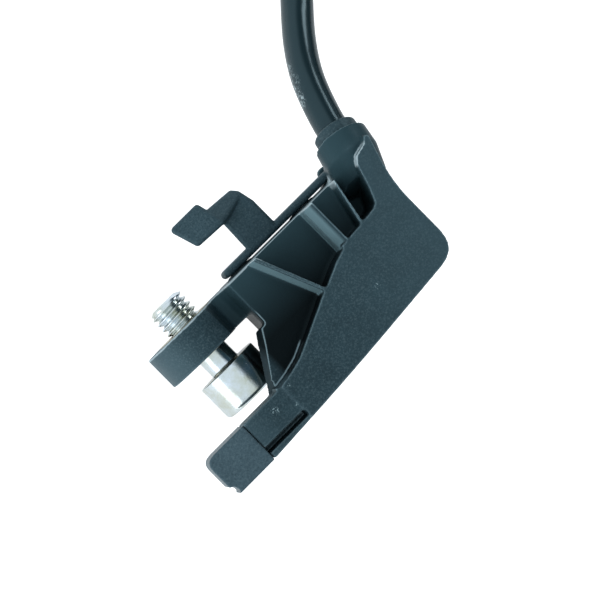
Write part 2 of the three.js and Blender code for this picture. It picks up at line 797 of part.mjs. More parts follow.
function plugShell() {
  const body = hull(
    [NECK_L, PLUG_L - NOSE_L].flatMap((y) =>
      [-1, 1].flatMap((a) => [
        v3((a * PLUG_W) / 2, y, -PLUG_H / 2 + 1),
        v3((a * PLUG_W) / 2, y, PLUG_H / 2 - 2.5),
        v3(a * (PLUG_W / 2 - 1), y, -PLUG_H / 2),
        v3(a * (PLUG_W / 2 - 1.2), y, PLUG_H / 2 - 1.5),
      ]),
    ),
  );
  const neck = rod(NECK_R, v3(0, 0, 0), v3(0, 1, 0), NECK_L + 1, 32);
  const nose = octagonal(NOSE_HALF_W, NOSE_HALF_H, PLUG_L - NOSE_L - 1, PLUG_L);
  const latch = join(
    box(-2.6, 2.6, NECK_L + 1, NECK_L + 2.5, PLUG_H / 2 - 2, PLUG_H / 2 + 1),
    box(-2.6, 2.6, NECK_L + 1, PLUG_L - NOSE_L, PLUG_H / 2, PLUG_H / 2 + 1),
    box(-2.6, 2.6, PLUG_L - NOSE_L - 1.2, PLUG_L - NOSE_L, PLUG_H / 2 - 0.9, PLUG_H / 2 + 0.5),
  );
  const sealBore = rod(SEAL_R + GAP / 2, v3(0, -1, 0), v3(0, 1, 0), NECK_L + 1, 32);
  const ports = [-PORT_OFF, PORT_OFF].map((x) => box(x - 1.3, x + 1.3, NECK_L - 1, PLUG_L + 1, -1.3, 1.3));
  const lockSlot = box(-PLUG_W, PLUG_W, LOCK_FROM, LOCK_TO, LOCK_LOW, LOCK_LOW + LOCK_T);
  return cut(join(body, neck, nose, latch), sealBore, ...ports, lockSlot);
}

const wireSeal = () =>
  turned(
    [
      [CABLE_R + CABLE_FIT, 0.4],
      [SEAL_R, 0.4],
      [SEAL_R - SEAL_GROOVE, 1.2],
      [SEAL_R, 2],
      [SEAL_R - SEAL_GROOVE, 2.8],
      [SEAL_R, 3.6],
      [SEAL_R, 4.6],
      [CABLE_R + CABLE_FIT, 4.6],
      [CABLE_R + CABLE_FIT, 0.4],
    ],
    v3(0, 0, 0),
    v3(0, 1, 0),
    32,
  );

function contact(side) {
  const x = side * PORT_OFF;
  const barrel = box(x - 1, x + 1, 11, PLUG_L - 1, -1, 1);
  const entry = box(x - 0.45, x + 0.45, 16, PLUG_L + 1, -0.45, 0.45);
  const crimpEnd = rod(0.8, v3(x, NECK_L + 0.6, 0), v3(0, 1, 0), 5, 16);
  return cut(join(barrel, crimpEnd), entry);
}

function noseSeal() {
  const y = PLUG_L - NOSE_L + GAP;
  const ring = octagonal(NOSE_HALF_W + 1.3, NOSE_HALF_H + 1.3, y, y + 2);
  return ring.subtract(octagonal(NOSE_HALF_W + GAP, NOSE_HALF_H + GAP, y - 1, y + 3));
}

const plugLock = () =>
  box(
    -PLUG_W / 2 + 0.4,
    PLUG_W / 2 - 0.4,
    LOCK_FROM + GAP / 2,
    LOCK_TO - GAP / 2,
    LOCK_LOW + GAP / 2,
    LOCK_LOW + LOCK_T - GAP / 3,
  );

const tail = () => rod(CABLE_R, v3(0, 2, 0), v3(0, -1, 0), TAIL_L + 3, 12);

// Scene

function piece(name, manifold, color, roughness, metalness = 0) {
  const mesh = new THREE.Mesh(
    geometryOf(manifold),
    new THREE.MeshStandardMaterial({ color, roughness, metalness }),
  );
  mesh.name = name;
  return mesh;
}

const sensor = new THREE.Group();
sensor.add(
  piece("housing", wholeHousing(), "#2c3a40", 0.6),
  piece("sensing_head", sensingHead(), "#35464e", 0.5),
  piece("sensing_chip", chip(), "#17181a", 0.4),
  piece("bias_magnet", magnet(), "#8d9095", 0.3, 1),
  piece("limiter_bush", bush(), "#a9a797", 0.4, 1),
  piece("mounting_bolt", bolt(), "#c9ccd2", 0.3, 1),
  piece("cable_clip", clip(), "#27353b", 0.5),
  piece("cable_seal", ferrule(), "#222c31", 0.6),
);
[["a", -1, "#2b3a55"], ["b", 1, "#5b3626"]].forEach(([letter, side, colour]) => {
  sensor.add(
    piece("terminal_" + letter, terminal(side), "#b98a52", 0.35, 1),
    piece("terminal_crimp_" + letter, crimp(side), "#c2b8a0", 0.4, 1),
    piece("cable_core_" + letter, tube(corePath(side), CORE_R, 8, 12), colour, 0.5),
  );
  plug.add(piece("plug_contact_" + letter, contact(side), "#c8c3b6", 0.35, 1));
});
plug.add(
  piece("plug_shell", plugShell(), "#23292c", 0.55),
  piece("plug_wire_seal", wireSeal(), "#8a3a2c", 0.7),
  piece("plug_nose_seal", noseSeal(), "#8a3a2c", 0.7),
  piece("plug_lock", plugLock(), "#5c6a70", 0.5),
  piece("cable_tail", tail(), "#0d0f10", 0.3),
);
const loose = new THREE.Group();
loose.add(
  piece("cable", lead(), "#0d0f10", 0.3),
  piece("cable_coil", coil(), "#0d0f10", 0.3),
  piece("coil_tie_a", coilTie(Math.PI * 0.35), "#15181a", 0.5),
  piece("coil_tie_b", coilTie(-Math.PI * 0.65), "#15181a", 0.5),
  plug,
);

// The finished part stands with the middle of the sensor's back at the origin.
const extent = new THREE.Box3().setFromObject(sensor);
const middle = extent.getCenter(new THREE.Vector3()).setZ(extent.min.z);
const part = new THREE.Group();
part.add(sensor, loose);
part.position.copy(middle.negate());

export default part;
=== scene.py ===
import math

import bmesh
import bpy
from mathutils import Matrix, Vector


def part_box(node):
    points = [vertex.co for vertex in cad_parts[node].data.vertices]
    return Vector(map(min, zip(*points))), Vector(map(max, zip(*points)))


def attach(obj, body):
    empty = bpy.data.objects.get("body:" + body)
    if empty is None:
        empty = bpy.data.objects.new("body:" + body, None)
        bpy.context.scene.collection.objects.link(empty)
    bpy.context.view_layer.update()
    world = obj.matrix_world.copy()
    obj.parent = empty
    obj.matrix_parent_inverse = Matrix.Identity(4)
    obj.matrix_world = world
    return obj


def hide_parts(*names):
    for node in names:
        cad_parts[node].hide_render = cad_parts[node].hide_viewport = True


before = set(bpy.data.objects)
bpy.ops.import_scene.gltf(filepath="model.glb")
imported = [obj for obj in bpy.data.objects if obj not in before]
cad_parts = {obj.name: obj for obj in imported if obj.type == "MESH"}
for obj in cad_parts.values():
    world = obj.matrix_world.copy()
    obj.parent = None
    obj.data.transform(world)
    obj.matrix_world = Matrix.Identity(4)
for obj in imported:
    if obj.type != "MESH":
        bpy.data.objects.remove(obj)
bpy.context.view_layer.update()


# Camera
# It looks down on the sensor from the front, nearly square to it, with the ear at the lower left.
# Places are given from the point where the bolt's axis meets the seat face, in millimetres.

HEAD_FACE = -14.6
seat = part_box("mounting_bolt")
AXIS_X = (seat[0].x + seat[1].x) / 2 * 1000
AXIS_Z = (seat[0].z + seat[1].z) / 2 * 1000
SEAT_Y = seat[0].y * 1000 - HEAD_FACE


def at(x, y, z):
    return Vector((x + AXIS_X, y + SEAT_Y, z + AXIS_Z)) / 1000


EYE = at(-33.2, 8.6, 400)
TARGET = at(14.8, -9.4, 0)
PICTURE_UP = Vector((1, 1, 0))

lens = bpy.data.cameras.new("photo_camera")
lens.sensor_width = 36
lens.lens = 163
lens.clip_start = 0.01
camera = bpy.data.objects.new("photo_camera", lens)
bpy.context.scene.collection.objects.link(camera)
back = (EYE - TARGET).normalized()
right = PICTURE_UP.cross(back).normalized()
up = back.cross(right)
rows = [[right[i], up[i], back[i]] for i in range(3)]
camera.matrix_world = Matrix.Translation(EYE) @ Matrix(rows).to_4x4()
bpy.context.scene.camera = camera


# Lead
# One cable with a black jacket: out of the seal, down to the table, three and a half turns
# of a coil that two ties hold, and on to the plug. It is one curve with a round section.

CABLE_D = 5
COIL_R = 27
COIL_UP = 80
COIL_LOW = -6.5
TURNS = 3.5
LEAD_END = 53.5
PLUG_Z = -1.6
STEP = 1.5
OUTLET = Vector((34.9, 3.3, 6.35))
OUTLET_TURN = math.radians(13.6)
OUTLET_DIP = math.radians(20)
OUTLET_AXIS = Vector(
    (
        math.sin(OUTLET_TURN) * math.cos(OUTLET_DIP),
        math.cos(OUTLET_TURN) * math.cos(OUTLET_DIP),
        -math.sin(OUTLET_DIP),
    )
)
LEAD_UP = Vector((1, 1, 0)) / math.sqrt(2)
LEAD_ASIDE = Vector((1, -1, 0)) / math.sqrt(2)
LEAD_LINE = Vector((14.75, -9.35, 0))

# The coil's turns in degrees: where they move inwards, climb onto the first ones and move out
TO_INNER, INNER_OVER = 310, 45
CLIMB, CLIMB_OVER = 630, 40
TO_OUTER, OUTER_OVER = 940, 45

# The way to the plug: points, and the part of it on which the lead comes down to the plug
LAST_POINTS = 20
DESCENT_FROM, DESCENT_OVER = 0.25, 0.55


def on_table(aside, along, z):
    """A place beside and along the line on which the lead leaves the picture."""
    p = LEAD_LINE + LEAD_ASIDE * aside + LEAD_UP * along
    return Vector((p.x, p.y, z))


def ease(t):
    t = min(max(t, 0), 1)
    return t * t * (3 - 2 * t)


def spline(points, step):
    """Points of a smooth line through some others, about one step apart."""
    line = []
    ends = [points[0] * 2 - points[1], *points, points[-1] * 2 - points[-2]]
    for a, b, c, d in zip(ends, ends[1:], ends[2:], ends[3:]):
        knots = [0]
        for p, q in ((a, b), (b, c), (c, d)):
            knots.append(knots[-1] + math.sqrt((q - p).length))
        count = max(1, round((c - b).length / step))
        for i in range(count):
            t = knots[1] + (knots[2] - knots[1]) * i / count
            ab = a.lerp(b, t / knots[1])
            bc = b.lerp(c, i / count)
            cd = c.lerp(d, (t - knots[2]) / (knots[3] - knots[2]))
            abc = ab.lerp(bc, t / knots[2])
            bcd = bc.lerp(cd, (t - knots[1]) / (knots[3] - knots[1]))
            line.append(abc.lerp(bcd, i / count))
    line.append(points[-1])
    return line


def coil_point(angle):
    """A point of the coil after this many degrees: outer, inner, inner on top, outer on top."""
    inner = ease((angle - TO_INNER) / INNER_OVER) - ease((angle - TO_OUTER) / OUTER_OVER)
    lifted = ease((angle - CLIMB) / CLIMB_OVER)
    r = COIL_R + CABLE_D / 2 - CABLE_D * inner
    around = math.radians(180 - angle)
    z = COIL_LOW + CABLE_D / 2 + CABLE_D * lifted
    return on_table(COIL_R + CABLE_D / 2 + r * math.cos(around), COIL_UP + r * math.sin(around), z)


route = spline(
    [
        OUTLET + OUTLET_AXIS * 0.4,
        OUTLET + OUTLET_AXIS * 3.1,
        Vector((38.5, 12.9, 2.2)),
        Vector((42, 17.7, -0.8)),
        Vector((47, 22.9, -3.7)),
        Vector((53.4, 29.3, -4.9)),
        Vector((58.55, 34.45, -4.4)),
        on_table(0, COIL_UP - 9, COIL_LOW + CABLE_D / 2),
        on_table(0, COIL_UP, COIL_LOW + CABLE_D / 2),
    ],
    STEP,
)
steps = round(2 * math.pi * COIL_R * TURNS / STEP)
route += [coil_point(360 * TURNS * i / steps) for i in range(1, steps + 1)]
coil_top = route[-1].z
for i in range(1, LAST_POINTS + 1):
    t = i / LAST_POINTS
    z = coil_top + (PLUG_Z - coil_top) * ease((t - DESCENT_FROM) / DESCENT_OVER)
    route.append(on_table(2 * COIL_R + CABLE_D, COIL_UP + (LEAD_END - COIL_UP) * t, z))
route = [at(*p) for p in route]

line = bpy.data.curves.new("lead", "CURVE")
line.dimensions = "3D"
line.bevel_depth = CABLE_D / 2000
line.bevel_resolution = 9
line.use_fill_caps = True
run = line.splines.new("POLY")
run.points.add(len(route) - 1)
for point, place in zip(run.points, route):
    point.co = (*place, 1)
run.use_smooth = True
lead = bpy.data.objects.new("lead", line)
bpy.context.scene.collection.objects.link(lead)


def linear(code):
    """A colour as seen on a screen, such as #2c3a40, in the values that materials take."""
    parts = [int(code[i : i + 2], 16) / 255 for i in (1, 3, 5)]
    return (*[c / 12.92 if c <= 0.04045 else ((c + 0.055) / 1.055) ** 2.4 for c in parts], 1)


def add(tree, kind, inputs=None, stops=None, **settings):
    """A node of this kind. An input is a value, a socket, or a node, which gives its result.
    Stops are the places and colour codes of a colour ramp."""
    node = tree.nodes.new(kind)
    for name, value in settings.items():
        setattr(node, name, value)
    for name, value in (inputs or {}).items():
        if isinstance(name, int):
            socket = node.inputs[name]
        else:
            socket = next(s for s in node.inputs if s.enabled and s.name == name)
        if isinstance(value, bpy.types.Node):
            value = next(s for s in value.outputs if s.enabled)
        if isinstance(value, bpy.types.NodeSocket):
            tree.links.new(value, socket)
        else:
            socket.default_value = value
    for i, (place, code) in enumerate(stops or []):
        elements = node.color_ramp.elements
        element = elements[i] if i < len(elements) else elements.new(place)
        element.position = place
        element.color = linear(code)
    return node


def new_material(name):
    material = bpy.data.materials.new(name)
    material.use_nodes = True
    tree = material.node_tree
    tree.nodes.clear()
    return material, tree


def finish_material(tree, inputs):
    shader = add(tree, "ShaderNodeBsdfPrincipled", inputs)
    add(tree, "ShaderNodeOutputMaterial", {"Surface": shader})


def zone(tree, *limits, most=1.0):
    """One where each of some values is past its limits: where the zone starts and is full."""
    share = most
    for value, start, full in limits:
        inputs = {"Value": value, "From Min": start, "From Max": full}
        edge = add(tree, "ShaderNodeMapRange", inputs)
        share = add(tree, "ShaderNodeMath", {0: share, 1: edge}, operation="MULTIPLY")
    return share


def near(tree, place, spot, reach):
    """A limit for a zone: full within half of this reach in millimetres from a spot."""
    away = add(tree, "ShaderNodeVectorMath", {0: place, 1: at(*spot)}, operation="DISTANCE")
    return away, reach / 1000, reach / 2000


def layered(tree, colour, *layers):
    """A colour with others laid over it, each a share and a colour code."""
    for share, code in layers:
        inputs = {"Factor": share, "A": colour, "B": linear(code)}
        colour = add(tree, "ShaderNodeMix", inputs, data_type="RGBA")
    return colour


# Vinyl, drawn smooth: glossy and nearly black, with a faint waviness that breaks up its long
# highlight, dull patches a few millimetres wide, and white scrapes by the seal. Each scale of
# a pattern is the number of its marks in a metre.
SHEEN = (0.6, 0.88, 1, 1)  # black plastics and rubber shine in a cool tint
SCRAPES = [((34.8, 11.7, 3.8), 2), ((36.2, 13.7, 2.4), 2.3), ((37.6, 15.5, 1), 2)]

jacket, tree = new_material("cable_jacket_vinyl")
place = add(tree, "ShaderNodeTexCoord").outputs["Object"]
inputs = {"Vector": place, "Scale": 420, "Detail": 6, "Roughness": 0.7}
scuff = add(tree, "ShaderNodeTexNoise", inputs)
patches = add(tree, "ShaderNodeTexNoise", {"Vector": place, "Scale": 95, "Detail": 2})
worn = add(tree, "ShaderNodeMath", {0: scuff, 1: patches}, operation="MULTIPLY")
inputs = {"Vector": place, "Scale": 1500, "Detail": 5, "Distortion": 2.5}
nicks = add(tree, "ShaderNodeTexNoise", inputs)
wave = add(tree, "ShaderNodeTexNoise", {"Vector": place, "Scale": 160, "Detail": 2})
bump = add(tree, "ShaderNodeBump", {"Height": wave, "Strength": 0.25, "Distance": 0.0004})
stops = [(0.3, "#1c2c31"), (0.42, "#26373d"), (0.55, "#52656a")]
colour = add(tree, "ShaderNodeValToRGB", {"Fac": worn}, stops)
for spot, reach in SCRAPES:
    scrape = zone(tree, (nicks, 0.52, 0.62), near(tree, place, spot, reach))
    colour = layered(tree, colour, (scrape, "#a3b3b7"))
finish_material(
    tree,
    {"Base Color": colour, "Roughness": 0.2, "Specular Tint": SHEEN, "Normal": bump},
)
line.materials.append(jacket)
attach(lead, "root")
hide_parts("cable", "cable_coil", "cable_tail")


# Housing
# Glass-filled nylon, overmoulded in one shot. Its edges are soft from the mould, and its
# faces carry the fine grain of a spark-eroded tool.

X, Y, Z = 0, 1, 2
MARKS = [
    ((22.8, -15.3, 12.4), 0.55),
    ((3.5, -16.4, 12.2), 0.4),
    ((2.4, -19.1, 12.2), 0.35),
    ((-0.5, -17.6, 12.2), 0.8),
]


def soften(name, cell, rounds, keep):
    """Rounds the edges of a CAD node: a fine net over its solid, smoothed and thinned."""
    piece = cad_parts[name]
    net = piece.modifiers.new("net", "REMESH")
    net.mode = "VOXEL"
    net.voxel_size = cell / 1000
    net.use_smooth_shade = True
    smooth = piece.modifiers.new("smooth", "SMOOTH")
    smooth.factor = 0.5
    smooth.iterations = rounds
    thin = piece.modifiers.new("thin", "DECIMATE")
    thin.ratio = keep


def paint(name, material):
    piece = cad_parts[name]
    piece.data.materials.clear()
    piece.data.materials.append(material)


def moulded(name, dark, light, roughness, grain, deep, change=None):
    """A matte moulding: blotches about 4 mm wide, and a grain of this size and depth in metres
    with pale specks as painted glints and dark specks as painted shade in its pits. The change,
    if any, adds zones of its own."""
    material, tree = new_material(name)
    place = add(tree, "ShaderNodeTexCoord").outputs["Object"]
    inputs = {"Vector": place, "Scale": 230, "Detail": 4, "Roughness": 0.6}
    blotch = add(tree, "ShaderNodeTexNoise", inputs)
    inputs = {"Vector": place, "Scale": 1 / grain, "Detail": 3, "Roughness": 0.8}
    speck = add(tree, "ShaderNodeTexNoise", inputs)
    colour = add(tree, "ShaderNodeValToRGB", {"Fac": blotch}, [(0.3, dark), (0.7, light)])
    # Painted glints on the grain's peaks and painted shade in its pits.
    pale = zone(tree, (speck, 0.5, 0.8), most=0.4)
    pit_shade = zone(tree, (speck, 0.5, 0.3), most=0.5)
    colour = layered(tree, colour, (pale, "#748488"), (pit_shade, "#04070a"))
    look = {"Base Color": colour, "Roughness": roughness}
    if change:
        look = change(tree, place, colour, roughness)
    bump = add(tree, "ShaderNodeBump", {"Height": speck, "Strength": 0.6, "Distance": deep})
    finish_material(tree, {**look, "Specular Tint": SHEEN, "Normal": bump})
    return material


def past(spot, axis, start, full):
    """A limit for a zone, between two places in millimetres along an axis."""
    return spot[axis], at(start, start, start)[axis], at(full, full, full)[axis]


def turning(facing):
    """Limits for a zone where a face turns towards an axis but isn't square to it yet."""
    return (facing, 0.12, 0.3), (facing, 0.97, 0.88)


def zones_and_painted_light(tree, place, colour, roughness):
    """The front face is paler towards the outlet end, and painted light lightens the ear's left
    end, which turns to the left panel. Behind the front the moulding is smoother and painted
    almost black as shade in its recesses, with painted shade on the pocket floors towards the arm.
    The pocket walls that face the ear get painted light, convex edges a painted highlight, the
    seat's rim a painted reflection, and the web painted shade on its side and a painted highlight
    on its crest. A few marks are pale dots."""
    spot = add(tree, "ShaderNodeSeparateXYZ", {"Vector": place}).outputs
    normal = add(tree, "ShaderNodeTexCoord").outputs["Normal"]
    facing = add(tree, "ShaderNodeSeparateXYZ", {"Vector": normal}).outputs
    # The front is paler towards the outlet end. The ear's left end is painted lighter, as painted
    # light where it turns to the left panel.
    paler_to_outlet = zone(tree, past(spot, X, 10, 34), most=0.45)
    lit_ear_end = zone(tree, past(spot, X, -1, -7), most=0.5)
    face = layered(tree, colour, (paler_to_outlet, "#3d525a"), (lit_ear_end, "#4b626b"))

    # Painted shade: the pockets behind the front are painted almost black, and their floors darker
    # towards the arm's wall.
    floor_shade = zone(tree, past(spot, Y, -10, 0))
    # Painted light: pocket walls that turn towards the ear and the left panel are painted grey.
    lit_wall_limits = [(facing[X], -0.6, -0.9), past(spot, X, 9.6, 10.4), past(spot, X, 25.6, 25.2)]
    lit_walls = zone(tree, *lit_wall_limits)
    inside = layered(tree, linear("#05090b"), (floor_shade, "#30464d"), (lit_walls, "#6b868e"))
    behind = past(spot, Z, 12, 11)
    within = zone(tree, behind, past(spot, X, 4.2, 5.4))
    colour = add(
        tree, "ShaderNodeMix", {"Factor": within, "A": face, "B": inside}, data_type="RGBA"
    )

    fleck = add(tree, "ShaderNodeTexNoise", {"Vector": place, "Scale": 4200, "Detail": 1})
    for mark, reach in MARKS:
        dots = zone(tree, (fleck, 0.55, 0.65), near(tree, place, mark, reach))
        colour = layered(tree, colour, (dots, "#8fa5ab"))

    shape = add(tree, "ShaderNodeNewGeometry").outputs
    rounded = add(tree, "ShaderNodeBevel", {"Radius": 0.0004}, samples=4)
    inputs = {0: rounded, 1: shape["Normal"]}
    flatness = add(tree, "ShaderNodeVectorMath", inputs, operation="DOT_PRODUCT")
    edge = [(flatness, 0.985, 0.94), (shape["Pointiness"], 0.506, 0.545)]
    at_seat = [past(spot, Y, -1.2, -0.8), past(spot, Y, 1, 0.6)]
    at_web = [behind, past(spot, X, 10, 9.4), past(spot, Y, -5.4, -6.4)]
    crest = [(facing[Z], 0.84, 0.9), (facing[Z], 0.995, 0.97)]
    # Painted light and shade: a painted highlight on convex edges, a painted reflection on the
    # seat's rim, painted shade on the web's side and a painted highlight on its crest.
    colour = layered(
        tree,
        colour,
        (zone(tree, *edge, most=0.8), "#819aa3"),
        (zone(tree, *at_seat, *turning(facing[Y]), most=0.8), "#b4c4ca"),
        (zone(tree, *at_web, *turning(facing[Z]), most=0.8), "#0b1317"),
        (zone(tree, *at_web, *crest, most=0.8), "#8aa0a8"),
    )
    dull = add(tree, "ShaderNodeMapRange", {"Value": within, "To Min": roughness, "To Max": 0.34})
    gloss = add(tree, "ShaderNodeMapRange", {"Value": within, "To Min": 0.5, "To Max": 0.12})
    return {"Base Color": colour, "Roughness": dull, "Specular IOR Level": gloss}


# Its eroded grain scatters the light, so the front looks soft and dark grey, with fine painted
# glints and painted pit shade as specks.
soften("housing", 0.2, 4, 0.45)
nylon = moulded("spark_eroded_nylon", "#172a31", "#22373f", 0.5, 0.0003, 0.00005, zones_and_painted_light)
paint("housing", nylon)


# Sensing head
# A block moulded beforehand of a smoother plastic, a shade lighter than the housing, which
# then grips its tongue. Its finer surface looks more even, with a faint satin shine.

soften("sensing_head", 0.15, 3, 0.6)
satin_plastic = moulded("head_plastic", "#394b54", "#43565f", 0.42, 0.0004, 0.00002)
paint("sensing_head", satin_plastic)


# Seal
# A rubber collar moulded onto the cable, which fills the mouth of the outlet. It looks dull
# and a little paler than the boss round it.

soften("cable_seal", 0.14, 3, 0.8)
paint("cable_seal", moulded("seal_rubber", "#24363d", "#30444b", 0.5, 0.0004, 0.00003))


# Clip
# One strip of coated spring sheet, folded into a tab that holds a lead against the flange. The
# coat is a matte dark powder coat, so that its faces differ only as the light falls on them.

soften("cable_clip", 0.12, 3, 0.8)
paint("cable_clip", moulded("coated_sheet", "#2a3e46", "#374c55", 0.6, 0.0003, 0.00002))


# Bush
# A turned steel bush, zinc plated, that keeps the bolt's load off the plastic ear.


def metal(name, dark, light, roughness, streaks):
    """Plated metal: tints that drift over about 3 mm, and fine marks, so many in a metre."""
    material, tree = new_material(name)
    place = add(tree, "ShaderNodeTexCoord").outputs["Object"]
    inputs = {"Vector": place, "Scale": 330, "Detail": 4, "Roughness": 0.6}
    tint = add(tree, "ShaderNodeTexNoise", inputs)
    marks = add(tree, "ShaderNodeTexNoise", {"Vector": place, "Scale": streaks, "Detail": 4})
    bump = add(tree, "ShaderNodeBump", {"Height": marks, "Strength": 0.35, "Distance": 0.00004})
    colour = add(tree, "ShaderNodeValToRGB", {"Fac": tint}, [(0.35, dark), (0.65, light)])
    inputs = {"Base Color": colour, "Metallic": 1, "Roughness": roughness, "Normal": bump}
    finish_material(tree, inputs)
    return material


# Its yellow passivation gives it a warm, half dull look.
paint("limiter_bush", metal("bush_steel", "#a49c84", "#c9c3ae", 0.32, 1500))


# Bolt
# A socket cap bolt M6, zinc plated. It is turned with a thinner shank, so that it stays captive
# in the bush, and its thread is rolled.

THREAD_R = 3
ROOT_DEPTH = 0.61
PITCH = 1
SHANK_R = 2.5
HEAD_R = 5.1
HEAD_TOP = -8.6
FACE_ROUND, RIM_ROUND = 0.7, 0.2
THREAD_FROM = -4.5
THREAD_TO = 4.6
CHAMFER = 0.5
THREAD_RINGS = 150
SIDES = 96
KEY_R = 5 / math.sqrt(3)
KEY_DEPTH = 3
DRILL_POINT = 0.9
CREST, ROOT = 0.08, 0.43  # parts of a pitch, from the middle of a crest
RUN_IN, RUN_OUT = 0.6, 0.4  # where the groove gets deeper at its start and shallower at its end
LEAST_R = 2.2  # nothing nearer to the axis moves


def turned(name, profile, sides):
    """A closed turned mesh about the bolt's axis. The profile is radius and place along it."""
    mesh = bpy.data.meshes.new(name)
    shape = bmesh.new()
    rings = []
    for r, y in profile:
        if r == 0:
            rings.append([shape.verts.new(at(0, y, 0))])
            continue
        ring = []
        for i in range(sides):
            a = 2 * math.pi * i / sides
            ring.append(shape.verts.new(at(r * math.sin(a), y, r * math.cos(a))))
        rings.append(ring)
    for one, two in zip(rings, rings[1:]):
        for i in range(sides):
            j = (i + 1) % sides
            corners = [one[i % len(one)], one[j % len(one)], two[j % len(two)], two[i % len(two)]]
            face = list(dict.fromkeys(corners))
            shape.faces.new(face).smooth = True
    bmesh.ops.recalc_face_normals(shape, faces=shape.faces)
    shape.to_mesh(mesh)
    shape.free()
    piece = bpy.data.objects.new(name, mesh)
    bpy.context.scene.collection.objects.link(piece)
    return piece


def arc(radius, y, reach, start, end, count):
    """A rounded corner of a profile: its centre, its reach and two angles in degrees."""
    angles = [math.radians(start + (end - start) * i / count) for i in range(count + 1)]
    return [(radius + reach * math.cos(a), y + reach * math.sin(a)) for a in angles]


span = THREAD_TO - CHAMFER - THREAD_FROM
fine = [THREAD_FROM + span * i / THREAD_RINGS for i in range(THREAD_RINGS + 1)]
bolt = turned(
    "screw",
    [
        (0, HEAD_FACE),
        *arc(HEAD_R - FACE_ROUND, HEAD_FACE + FACE_ROUND, FACE_ROUND, -90, 0, 7),
        *arc(HEAD_R - RIM_ROUND, HEAD_TOP - RIM_ROUND, RIM_ROUND, 0, 90, 3),
        (SHANK_R + 0.35, HEAD_TOP),
        (SHANK_R + 0.1, HEAD_TOP + 0.12),
        (SHANK_R, HEAD_TOP + 0.4),
        (SHANK_R, THREAD_FROM - CHAMFER),
        *[(THREAD_R, y) for y in fine],
        (THREAD_R - 0.75, THREAD_TO - 0.06),
        (THREAD_R - 0.85, THREAD_TO),
        (0, THREAD_TO),
    ],
    SIDES,
)
key_way = [
    (0, HEAD_FACE - 1),
    (KEY_R, HEAD_FACE - 1),
    (KEY_R, HEAD_FACE + KEY_DEPTH),
    (0, HEAD_FACE + KEY_DEPTH + DRILL_POINT),
]
socket = turned("socket", key_way, 6)
drill = bolt.modifiers.new("socket", "BOOLEAN")
drill.operation = "DIFFERENCE"
drill.solver = "EXACT"
drill.object = socket

# Bright zinc mirrors the white tent, so the bolt looks almost white, with a dark side.
zinc = metal("zinc_plate", "#c8cdc2", "#dde6ee", 0.18, 2500)

# The thread is one groove that winds round the blank.
groove = bpy.data.node_groups.new("rolled_thread", "GeometryNodeTree")
sizes = {
    "Pitch": PITCH / 1000,
    "Depth": ROOT_DEPTH / 1000,
    "From": at(0, THREAD_FROM, 0).y,
    "To": at(0, THREAD_TO - 0.4, 0).y,
}
groove.interface.new_socket("Geometry", in_out="INPUT", socket_type="NodeSocketGeometry")
for name in sizes:
    groove.interface.new_socket(name, in_out="INPUT", socket_type="NodeSocketFloat")
groove.interface.new_socket("Geometry", in_out="OUTPUT", socket_type="NodeSocketGeometry")

given = add(groove, "NodeGroupInput").outputs
position = add(groove, "GeometryNodeInputPosition")
along = add(groove, "ShaderNodeSeparateXYZ", {"Vector": position}).outputs[Y]
off = add(groove, "ShaderNodeVectorMath", {0: position, 1: at(0, 0, 0)}, operation="SUBTRACT")
across = add(groove, "ShaderNodeVectorMath", {0: off, 1: (1, 0, 1)}, operation="MULTIPLY")
outwards = add(groove, "ShaderNodeVectorMath", {0: across}, operation="NORMALIZE")
radius = add(groove, "ShaderNodeVectorMath", {0: across}, operation="LENGTH")
sides = add(groove, "ShaderNodeSeparateXYZ", {"Vector": across}).outputs
angle = add(groove, "ShaderNodeMath", {0: sides[Z], 1: sides[X]}, operation="ARCTAN2")
turns = add(groove, "ShaderNodeMath", {0: angle, 1: 2 * math.pi}, operation="DIVIDE")
pitches = add(groove, "ShaderNodeMath", {0: along, 1: given["Pitch"]}, operation="DIVIDE")
wound = add(groove, "ShaderNodeMath", {0: pitches, 1: turns}, operation="ADD")
winding = add(groove, "ShaderNodeMath", {0: wound}, operation="FRACT")
from_crest = add(groove, "ShaderNodeMath", {0: winding, 1: 0.5}, operation="SUBTRACT")
from_crest = add(groove, "ShaderNodeMath", {0: from_crest}, operation="ABSOLUTE")
full = add(groove, "ShaderNodeMath", {0: given["From"], 1: RUN_IN / 1000}, operation="ADD")
last = add(groove, "ShaderNodeMath", {0: given["To"], 1: RUN_OUT / 1000}, operation="SUBTRACT")
flank = (from_crest, CREST, ROOT)
cut = zone(groove, flank, (along, given["From"], full), (along, given["To"], last))
outside = add(groove, "ShaderNodeMath", {0: radius, 1: LEAST_R / 1000}, operation="GREATER_THAN")
depth = add(groove, "ShaderNodeMath", {0: given["Depth"], 1: -1}, operation="MULTIPLY")
for share in (cut, outside):
    depth = add(groove, "ShaderNodeMath", {0: depth, 1: share}, operation="MULTIPLY")
inwards = add(groove, "ShaderNodeVectorMath", {0: outwards, "Scale": depth}, operation="SCALE")
inputs = {"Geometry": given["Geometry"], "Offset": inwards}
moved = add(groove, "GeometryNodeSetPosition", inputs)
real = add(groove, "GeometryNodeRealizeInstances", {"Geometry": moved})
plated = add(groove, "GeometryNodeSetMaterial", {"Geometry": real, "Material": zinc})
add(groove, "NodeGroupOutput", {"Geometry": plated})

thread = bolt.modifiers.new("thread", "NODES")
thread.node_group = groove
for item in groove.interface.items_tree:
    if item.name in sizes:
        thread[item.identifier] = sizes[item.name]


def settle(piece):
    """Keeps the shape that the modifiers make, as the piece's own mesh."""
    bpy.context.view_layer.update()
    view = piece.evaluated_get(bpy.context.evaluated_depsgraph_get())
    mesh = bpy.data.meshes.new_from_object(view)
    piece.modifiers.clear()
    piece.data = mesh


settle(bolt)
bpy.data.objects.remove(socket)
bolt.data.materials.clear()
bolt.data.materials.append(zinc)
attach(bolt, "root")
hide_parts("mounting_bolt")


